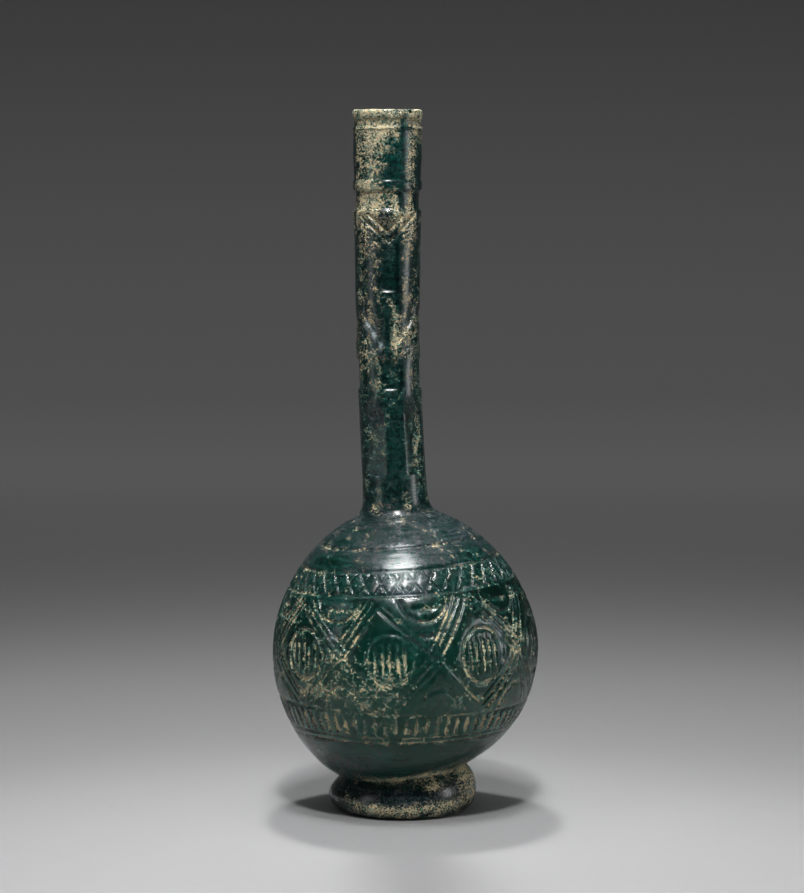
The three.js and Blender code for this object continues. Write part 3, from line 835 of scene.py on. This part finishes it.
def dense_skin(sizes):
    """Vertices, triangles and per-vertex finish of the whole bottle, inside and out."""
    kick, ring, outer, neck, inner = skin_rows(sizes)
    narrow = int(round(2 * math.pi * COLUMN_RADIUS / (COLUMNS * sizes.step / MM)))
    columns = (3 * narrow, narrow)
    wide_angle, narrow_angle = (np.arange(n) * 360 / n - 180 for n in columns)
    half, deep = sizes.line_half / MM, sizes.line_depth / MM
    wave = sizes.wave / MM

    under = ring_points(
        wide_angle, np.concatenate([kick[0][1:], ring[0]]), np.concatenate([kick[1][1:], ring[1]]))
    body, body_finish = sunk_grid(
        wide_angle, outer[0][1:], outer[1][1:], lambda skin: body_cuts(skin, sizes), wave)
    stem, stem_finish = sunk_grid(
        narrow_angle, neck[0], neck[1], lambda skin: neck_cuts(skin, half, deep), 0.4 * wave)
    inside = ring_points(narrow_angle, inner[0][:-1], inner[1][:-1])

    lower = np.concatenate([under, body])
    upper = np.concatenate([stem, inside])
    tips = ring_points(np.zeros(1), np.array([KICK, inner[0][-1]]), np.zeros(2))[:, 0]
    points = np.concatenate([lower.reshape(-1, 3), upper.reshape(-1, 3), tips])
    start = lower.shape[0] * columns[0]
    end = start + upper.shape[0] * columns[1]
    triangles = np.concatenate([
        fan_triangles(np.arange(columns[0]), end, False),
        grid_triangles(lower.shape[0], columns[0], 0),
        zip_triangles(np.arange(start - columns[0], start), np.arange(start, start + columns[1])),
        grid_triangles(upper.shape[0], columns[1], start),
        fan_triangles(np.arange(end - columns[1], end), end + 1, True),
    ])

    bore = np.clip((inner[0][:-1, None] - BORE_FOOT) / BORE_FADE, 0, 1)
    bore = np.broadcast_to(bore, inside.shape[:2])

    def finish(index, plain, inner_plain):
        parts = [np.full(under.shape[:2], plain), body_finish[index], stem_finish[index], inner_plain * bore]
        return np.concatenate([p.ravel() for p in parts] + [np.array([plain, 0.0])])

    def stretch(first, share, rows, count):
        return np.repeat(first + np.arange(rows) / rows * share, count)

    run = np.concatenate([
        stretch(*MAP_BODY, lower.shape[0], columns[0]),
        stretch(*MAP_NECK, stem.shape[0], columns[1]),
        stretch(*MAP_INSIDE, inside.shape[0], columns[1]),
        [0.0, 1.0],
    ])
    hidden = np.zeros(len(points))
    hidden[end - inside.shape[0] * columns[1]:end] = 1
    hidden[-1] = 1
    layers = {
        "crust": finish(0, 0.1, 0.0), "haze_and_highlight": finish(1, 0.1, BORE_HAZE), "tone": finish(2, 0.0, 0.0),
        "inside": hidden, "run": run,
    }
    return points * MM, triangles, layers


def mesh_from(name, points, triangles, layers):
    mesh = bpy.data.meshes.new(name)
    mesh.vertices.add(len(points))
    mesh.vertices.foreach_set("co", points.astype(np.float32).ravel())
    mesh.loops.add(triangles.size)
    mesh.loops.foreach_set("vertex_index", triangles.astype(np.int32).ravel())
    mesh.polygons.add(len(triangles))
    mesh.polygons.foreach_set("loop_start", np.arange(0, triangles.size, 3, dtype=np.int32))
    for layer, values in layers.items():
        attribute = mesh.attributes.new(layer, "FLOAT", "POINT")
        attribute.data.foreach_set("value", values.astype(np.float32))
    mesh.update(calc_edges=True)
    if mesh.validate():
        raise RuntimeError("The bottle's skin has faces that don't belong")
    return mesh


def thinned(mesh, triangles):
    """The mesh with its plain stretches thinned, so that the cuts keep the most triangles."""
    carrier = bpy.data.objects.new("thinning", mesh)
    bpy.context.scene.collection.objects.link(carrier)
    modifier = carrier.modifiers.new("thin", "DECIMATE")
    modifier.ratio = min(triangles / len(mesh.polygons), 1)
    graph = bpy.context.evaluated_depsgraph_get()
    result = bpy.data.meshes.new_from_object(carrier.evaluated_get(graph))
    bpy.data.objects.remove(carrier)
    bpy.data.meshes.remove(mesh)
    return result


def unwrap(mesh):
    """Unrolled map of the skin: angle across, run of the profile up, with the inside in the top stripe."""
    count = len(mesh.vertices)
    points = np.empty(count * 3, np.float32)
    mesh.vertices.foreach_get("co", points)
    points = points.reshape(-1, 3)
    run = np.empty(count, np.float32)
    mesh.attributes["run"].data.foreach_get("value", run)
    corners = np.empty(len(mesh.loops), np.int32)
    mesh.loops.foreach_get("vertex_index", corners)
    corners = corners.reshape(-1, 3)
    shift = through(SPINE, points[:, 2] / MM) * MM
    share = np.arctan2(points[:, 0] - shift, -points[:, 1]) / (2 * np.pi) + 0.5
    across = share[corners]
    split = (across.max(1) - across.min(1) > 0.5)[:, None] & (across < 0.5)
    across = np.clip((across + split) / MAP_SPAN, 0, 1)
    layer = mesh.uv_layers.new(name="OFBake")
    layer.data.foreach_set("uv", np.stack([across, run[corners]], -1).astype(np.float32).ravel())
    mesh.attributes.remove(mesh.attributes["run"])


class NodeTree:
    """Short hand for a material's nodes."""

    def __init__(self, material):
        material.use_nodes = True
        self.tree = material.node_tree
        self.tree.nodes.clear()

    def add(self, kind, values=None, **settings):
        node = self.tree.nodes.new("ShaderNode" + kind)
        for name, value in settings.items():
            setattr(node, name, value)
        for name, value in (values or {}).items():
            self.set(node.inputs[name], value)
        return node

    def set(self, socket, value):
        if isinstance(value, bpy.types.NodeSocket):
            self.tree.links.new(value, socket)
        else:
            socket.default_value = value

    def math(self, operation, first, second=0.0, clamp=False):
        node = self.add("Math", {0: first, 1: second}, operation=operation, use_clamp=clamp)
        return node.outputs[0]

    def noise(self, vector, scale, detail, roughness):
        node = self.add(
            "TexNoise", {"Vector": vector, "Scale": scale, "Detail": detail, "Roughness": roughness})
        return node.outputs["Fac"]

    def flakes(self, vector, scale):
        """Small grains, each of one even value."""
        node = self.add("TexVoronoi", {"Vector": vector, "Scale": scale})
        return self.add("SeparateColor", {"Color": node.outputs["Color"]}).outputs[0]

    def lathe(self, vector):
        """Places drawn out round the upright axis, so that a noise runs in streaks round it."""
        x, y, z = self.add("SeparateXYZ", {"Vector": vector}).outputs
        square = self.math("ADD", self.math("MULTIPLY", x, x), self.math("MULTIPLY", y, y))
        radius = self.math("SQRT", square)
        return self.add("CombineXYZ", {"X": radius, "Y": self.math("MULTIPLY", x, 0.12), "Z": z}).outputs[0]

    def swayed(self, value, noise, share):
        """A value with a share of a noise's swing added to it."""
        return self.math("ADD", value, self.math("MULTIPLY", self.math("SUBTRACT", noise, 0.5), share))

    def ramp(self, value, low, high, out_low=0.0, out_high=1.0):
        node = self.add(
            "MapRange", {"Value": value, 1: low, 2: high, 3: out_low, 4: out_high},
            interpolation_type="SMOOTHSTEP")
        return node.outputs["Result"]

    def mix(self, factor, first, second):
        node = self.add("Mix", {"Factor": factor}, data_type="RGBA")
        self.set(node.inputs[6], first)
        self.set(node.inputs[7], second)
        return node.outputs[2]

    def blend(self, factor, first, second):
        node = self.add("Mix", {"Factor": factor, 2: first, 3: second}, data_type="FLOAT")
        return node.outputs[0]

    def layer(self, name):
        return self.add("Attribute", attribute_name=name).outputs["Fac"]


def rgba(colour):
    return (*colour, 1.0)


def weathered_glass(finish):
    """Dark green glass with a dull film, a buff crust, soil in the cuts and pale painted highlights where the
    haze runs high.
    """
    material = bpy.data.materials.new("weathered_glass")
    nodes = NodeTree(material)
    place = nodes.add("TexCoord").outputs["Object"]
    flakes = nodes.flakes(place, FLAKES)
    grain = nodes.noise(place, GRAIN, 3.0, 0.7)
    blotch = nodes.noise(place, BLOTCHES, 4.0, 0.6)
    cloud = nodes.noise(place, CLOUDS, 3.0, 0.5)
    streak = nodes.noise(nodes.lathe(place), STREAKS, 3.0, 0.6)

    level = nodes.layer("crust")
    for noise, share in (
            (grain, GRAIN_SHARE), (flakes, FLAKE_SHARE), (blotch, BLOTCH_SHARE), (streak, STREAK_SHARE)):
        level = nodes.swayed(level, noise, share)
    crust = nodes.ramp(level, *CRUST_EDGE)
    wiped = nodes.math("ADD", nodes.math("ADD", blotch, grain), streak)
    patchy = nodes.ramp(nodes.swayed(wiped, flakes, FILM_FLAKES), *FILM_EDGE, *FILM_SHARE)
    # Haze layer, which also carries the painted highlight patches
    film_and_highlight_layer = nodes.layer("haze_and_highlight")
    haze_and_highlight = nodes.math("MULTIPLY", film_and_highlight_layer, patchy, clamp=True)
    inside = nodes.layer("inside")

    warm = nodes.math("MULTIPLY", nodes.layer("tone"), nodes.ramp(cloud, *WARM_EDGE), clamp=True)
    cream = nodes.mix(nodes.ramp(level, *CREAM_EDGE), rgba(finish.thin), rgba(finish.cream))
    cream = nodes.mix(nodes.ramp(blotch, *EARTH_EDGE, *EARTH_SHARE), cream, rgba(finish.earth))
    soil = nodes.mix(warm, cream, rgba(finish.earth))
    # The film turns to the pale painted highlight colour where the haze runs high
    film = nodes.mix(nodes.ramp(film_and_highlight_layer, *PAINTED_HIGHLIGHT_EDGE), rgba(finish.film), rgba(finish.painted_highlight))
    film = nodes.mix(nodes.ramp(haze_and_highlight, *TINT_EDGE), rgba(finish.clear), film)
    colour = nodes.mix(crust, film, soil)

    dull = nodes.blend(haze_and_highlight, finish.gloss, FILM_ROUGHNESS)
    dull = nodes.math("ADD", dull, nodes.math("MULTIPLY", inside, INNER_ROUGHNESS))
    roughness = nodes.blend(crust, dull, CRUST_ROUGHNESS)
    passing = nodes.math("SUBTRACT", 1.0, nodes.math("MULTIPLY", haze_and_highlight, FILM_VEIL))
    passing = nodes.math("MULTIPLY", passing, nodes.math("SUBTRACT", 1.0, crust), clamp=True)

    height = nodes.math(
        "ADD", nodes.math("MULTIPLY", crust, CRUST_RELIEF), nodes.math("MULTIPLY", grain, GRAIN_RELIEF))
    bump = nodes.add("Bump", {"Height": height, "Distance": RELIEF, "Strength": RELIEF_STRENGTH})
    shader = nodes.add("BsdfPrincipled", {
        "Base Color": colour, "Roughness": roughness, "IOR": GLASS_INDEX, "Transmission Weight": passing,
        "Normal": bump.outputs["Normal"],
    })
    depth = nodes.add("VolumeAbsorption", {"Color": rgba(finish.absorbed), "Density": finish.density})
    output = nodes.add("OutputMaterial")
    nodes.set(output.inputs["Surface"], shader.outputs[0])
    nodes.set(output.inputs["Volume"], depth.outputs[0])
    return material


def floor_finish(colour):
    """Pale matt paper with a faint unevenness, painted shade before the view and behind the bottle, and
    painted light where it rises.
    """
    material = bpy.data.materials.new("pale_floor")
    nodes = NodeTree(material)
    place = nodes.add("TexCoord").outputs["Object"]
    cloud = nodes.ramp(nodes.noise(place, FLOOR_CLOUDS, 3.0, 0.5), 0.3, 0.7)
    shade = nodes.mix(cloud, rgba([FLOOR_SHADE * c for c in colour]), rgba(colour))
    depth = nodes.add("SeparateXYZ", {"Vector": place}).outputs["Y"]
    # Painted shade before the view
    near, far, share = FLOOR_FRONT_SHADE
    shade = nodes.mix(nodes.ramp(depth, near, far), rgba([share * c for c in colour]), shade)
    # Painted shade behind the bottle, then painted light where the floor rises into the wall
    for near, far, share in FLOOR_LIGHT_AND_SHADE:
        shade = nodes.mix(nodes.ramp(depth, near, far), shade, rgba([share * c for c in colour]))
    shader = nodes.add("BsdfPrincipled", {"Base Color": shade, "Roughness": FLOOR_ROUGHNESS})
    output = nodes.add("OutputMaterial")
    nodes.set(output.inputs["Surface"], shader.outputs[0])
    return material


class BOTTLE_OT_vessel(bpy.types.Operator):
    """Build the hollow bottle with its cuts, and finish it as weathered glass"""

    bl_idname = "bottle.vessel"
    bl_label = "Build bottle"

    def execute(self, context):
        sizes = context.scene.bottle_sizes
        dense = mesh_from("dense_skin", *dense_skin(sizes))
        mesh = thinned(dense, sizes.triangles)
        mesh.name = "wheel_cut_bottle"
        unwrap(mesh)
        mesh.shade_smooth()
        mesh.materials.clear()
        mesh.materials.append(weathered_glass(context.scene.bottle_finish))
        piece = bpy.data.objects.new("wheel_cut_bottle", mesh)
        context.scene.collection.objects.link(piece)
        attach(piece, BODY)
        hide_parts(NODE)
        return {"FINISHED"}


def hung(name, light, place, target):
    """Lamp at a place, turned to a target."""
    lamp = bpy.data.objects.new(name, light)
    lamp.location = place
    lamp.rotation_euler = (Vector(target) - Vector(place)).to_track_quat("-Z", "Y").to_euler()
    bpy.context.scene.collection.objects.link(lamp)


def soft_box(name, place, target, size, power, spread=180):
    """Area light of (width, height), its beam as wide as the spread in degrees."""
    light = bpy.data.lights.new(name, "AREA")
    light.shape = "RECTANGLE"
    light.size, light.size_y = size
    light.energy = power
    light.spread = math.radians(spread)
    hung(name, light, place, target)


def spot(name, place, target, cone, radius, power):
    """Soft-edged lamp with a cone in degrees."""
    light = bpy.data.lights.new(name, "SPOT")
    light.spot_size = math.radians(cone)
    light.spot_blend = 1.0
    light.shadow_soft_size = radius
    light.energy = power
    hung(name, light, place, target)


def overhead(strength, spread):
    """Even light from a patch straight above, as wide as the spread in degrees."""
    light = bpy.data.lights.new("overhead", "SUN")
    light.energy = strength
    light.angle = math.radians(spread)
    lamp = bpy.data.objects.new("overhead", light)
    lamp.location = (0, 0, 2)
    bpy.context.scene.collection.objects.link(lamp)


def sweep_mesh(half_width, near, far, bend, wall):
    """Floor that runs back and curves up into a wall of the given height."""
    turns = np.linspace(0, math.pi / 2, 33)
    depth = np.concatenate([[near], far + bend * np.sin(turns), [far + bend]])
    rise = np.concatenate([[0], bend * (1 - np.cos(turns)), [bend + wall]])
    points = [(side * half_width, y, z) for y, z in zip(depth, rise) for side in (-1, 1)]
    faces = [(2 * k, 2 * k + 1, 2 * k + 3, 2 * k + 2) for k in range(len(depth) - 1)]
    mesh = bpy.data.meshes.new("floor")
    mesh.from_pydata(points, [], faces)
    mesh.shade_smooth()
    return mesh


class BOTTLE_OT_stage(bpy.types.Operator):
    """Lay the pale floor, hang the soft lights and set the camera"""

    bl_idname = "bottle.stage"
    bl_label = "Set the stage"

    def execute(self, context):
        stage = context.scene.bottle_stage
        sweep = sweep_mesh(half_width=6.0, near=-6.0, far=1.7, bend=0.42, wall=2.5)
        floor = bpy.data.objects.new("floor", sweep)
        context.scene.collection.objects.link(floor)
        floor.data.materials.append(floor_finish(stage.floor))

        world = bpy.data.worlds.new("room")
        world.use_nodes = True
        world.node_tree.nodes["Background"].inputs["Color"].default_value = rgba(stage.ambient)
        context.scene.world = world

        spot("front", *FRONT_LAMP, cone=33, radius=0.06, power=stage.front)
        soft_box("top", *TOP_BOX, size=(0.26, 0.3), power=stage.top, spread=50)
        spot("rear", *REAR_LAMP, cone=54, radius=0.03, power=stage.rear)
        overhead(stage.sky, spread=70)
        soft_box("strip", *STRIP_BOX, size=(0.12, 0.3), power=stage.strip)
        soft_box("fill", *FILL_BOX, size=(0.2, 0.5), power=stage.fill)

        lens = bpy.data.cameras.new("camera")
        lens.lens = stage.lens
        lens.clip_start = 0.01
        camera = bpy.data.objects.new("camera", lens)
        camera.location = (0, -stage.camera_distance, stage.camera_height)
        camera.rotation_euler = (math.pi / 2 - stage.camera_pitch, 0, 0)
        context.scene.collection.objects.link(camera)
        context.scene.camera = camera
        context.scene.view_settings.view_transform = "Standard"
        return {"FINISHED"}


class BOTTLE_PT_panel(bpy.types.Panel):
    """Sizes, finish and the steps that build the bottle"""

    bl_idname = "BOTTLE_PT_panel"
    bl_label = "Wheel-cut bottle"
    bl_space_type = "VIEW_3D"
    bl_region_type = "UI"
    bl_category = "Bottle"

    def draw(self, context):
        layout = self.layout
        for group in (context.scene.bottle_sizes, context.scene.bottle_finish, context.scene.bottle_stage):
            column = layout.column(align=True)
            for name in group.__annotations__:
                column.prop(group, name)
        layout.operator(BOTTLE_OT_vessel.bl_idname)
        layout.operator(BOTTLE_OT_stage.bl_idname)


CLASSES = (BottleSizes, BottleFinish, StageSettings, BOTTLE_OT_vessel, BOTTLE_OT_stage, BOTTLE_PT_panel)


def register():
    for cls in CLASSES:
        bpy.utils.register_class(cls)
    bpy.types.Scene.bottle_sizes = PointerProperty(type=BottleSizes)
    bpy.types.Scene.bottle_finish = PointerProperty(type=BottleFinish)
    bpy.types.Scene.bottle_stage = PointerProperty(type=StageSettings)


def unregister():
    del bpy.types.Scene.bottle_stage
    del bpy.types.Scene.bottle_finish
    del bpy.types.Scene.bottle_sizes
    for cls in reversed(CLASSES):
        bpy.utils.unregister_class(cls)


def main():
    register()
    bpy.ops.bottle.vessel()
    bpy.ops.bottle.stage()


if __name__ == "__main__":
    main()
